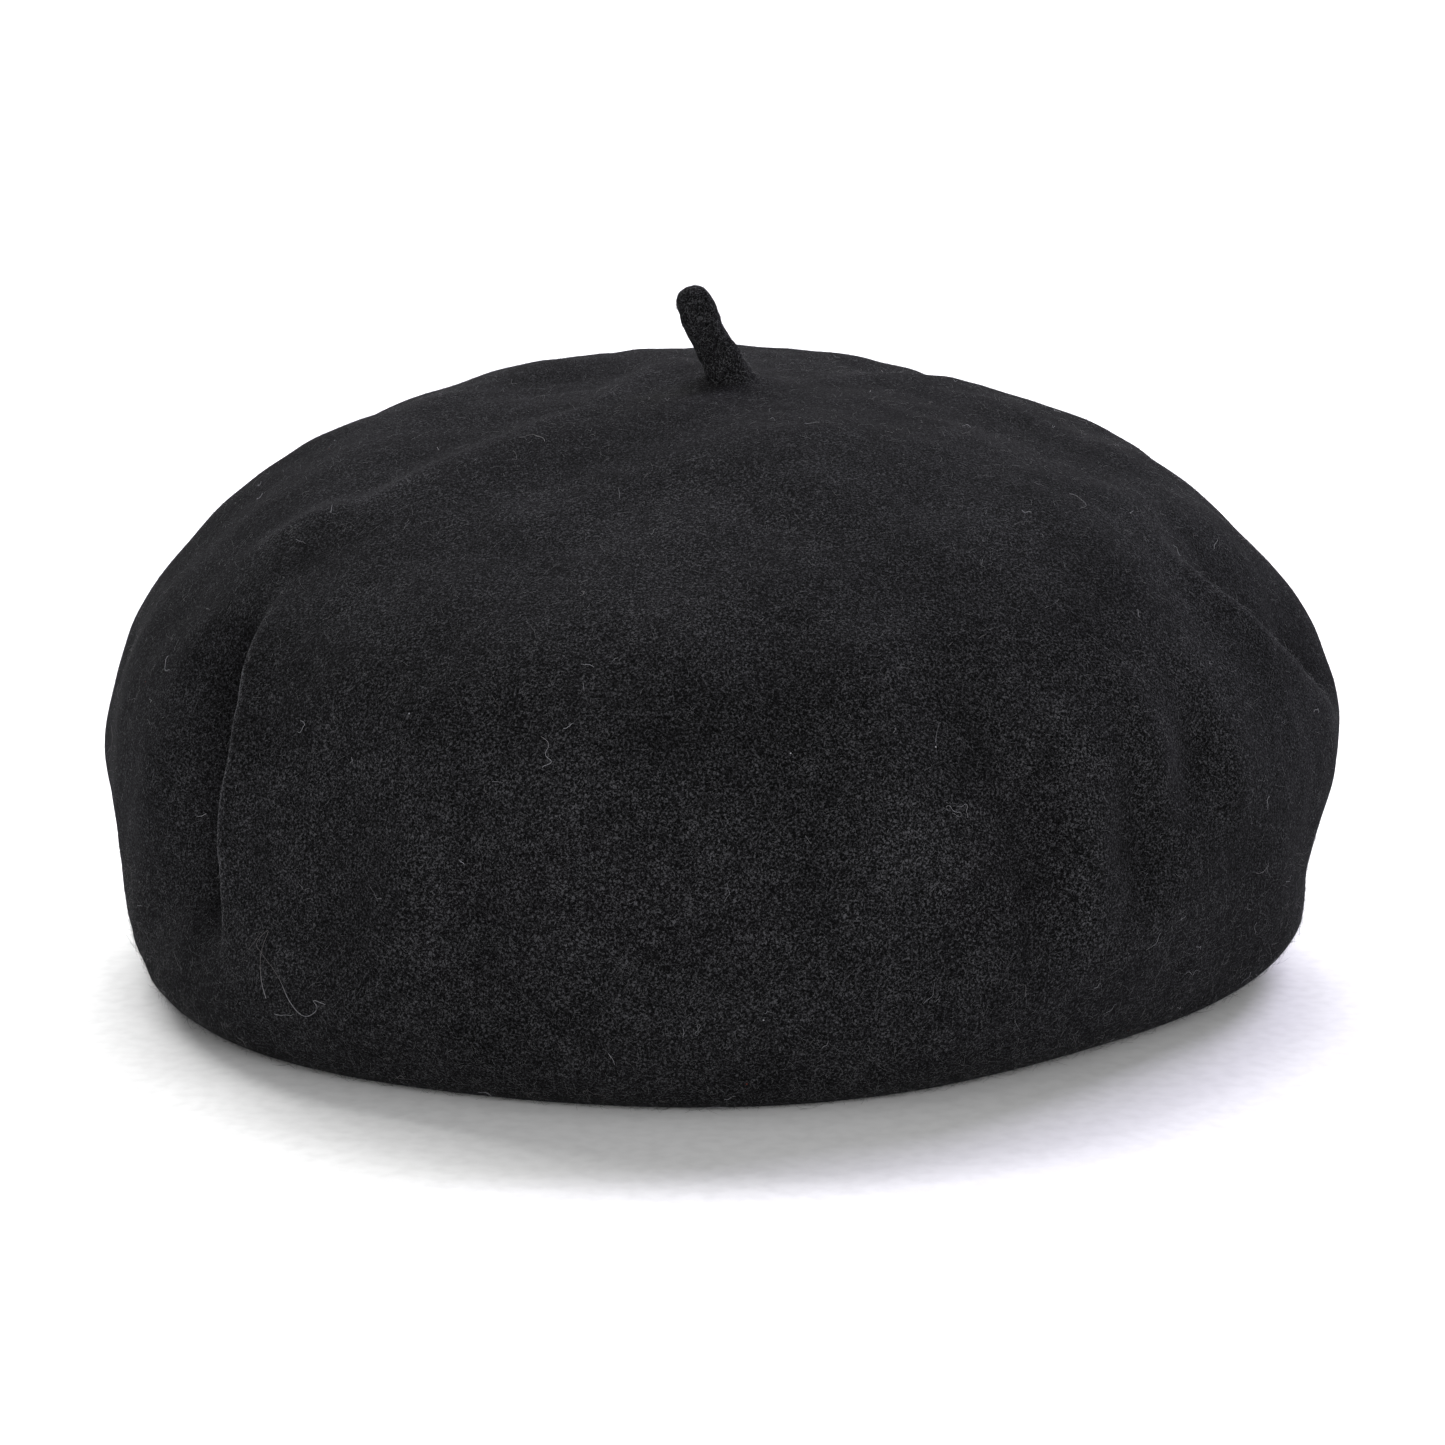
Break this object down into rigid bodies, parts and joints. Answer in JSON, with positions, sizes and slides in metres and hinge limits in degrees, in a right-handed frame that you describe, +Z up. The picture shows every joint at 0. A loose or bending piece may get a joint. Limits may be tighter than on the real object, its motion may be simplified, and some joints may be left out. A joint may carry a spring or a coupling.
{
  "type": "beret",
  "caption": "One-piece fulled wool beret stuffed out to a full dome, with a short felt stalk on top, a satin lining and a leather sweatband with a flat bow",
  "frame": {"origin": "middle of the head opening, on the surface that the beret stands on", "axes": "+Z up through the top of the crown; the front of the hat faces -Y; the sweatband's joint and its bow are at +Y; the stalk leans towards -X"},
  "size_m": [0.222, 0.222, 0.1248],
  "materials": {
    "wool_felt": "black fulled wool, matt, with a fine raised nap",
    "satin": "black satin, soft sheen",
    "leather": "black smooth-grained sheepskin",
    "ribbon": "black grosgrain ribbon",
    "thread": "black sewing thread",
    "label_fabric": "off-white woven tape, blank"
  },
  "bodies": {
    "crown": {"felt_crown": "wool_felt", "cabillou_tack": "thread", "lining_tip": "satin", "lining_side": "satin", "lining_seam_thread": "thread", "sweatband": "leather", "sweatband_stitching": "thread", "bow_left_loop": "ribbon", "bow_right_loop": "ribbon", "bow_knot": "ribbon"},
    "stalk": {"cabillou": "wool_felt"},
    "label": {"care_label": "label_fabric"}
  },
  "joints": [
    {"name": "cabillou_bend", "type": "hinge", "parent": "crown", "child": "stalk", "pos_m": [0, 0, 0.1098], "axis": [0, 1, 0], "range_deg": [-56, 96], "stiffness_Nm_per_rad": 0.002},
    {"name": "label_flip", "type": "hinge", "parent": "crown", "child": "label", "pos_m": [-0.08326, 0, 0.0275], "axis": [0, -1, 0], "range_deg": [0, 150]}
  ]
}
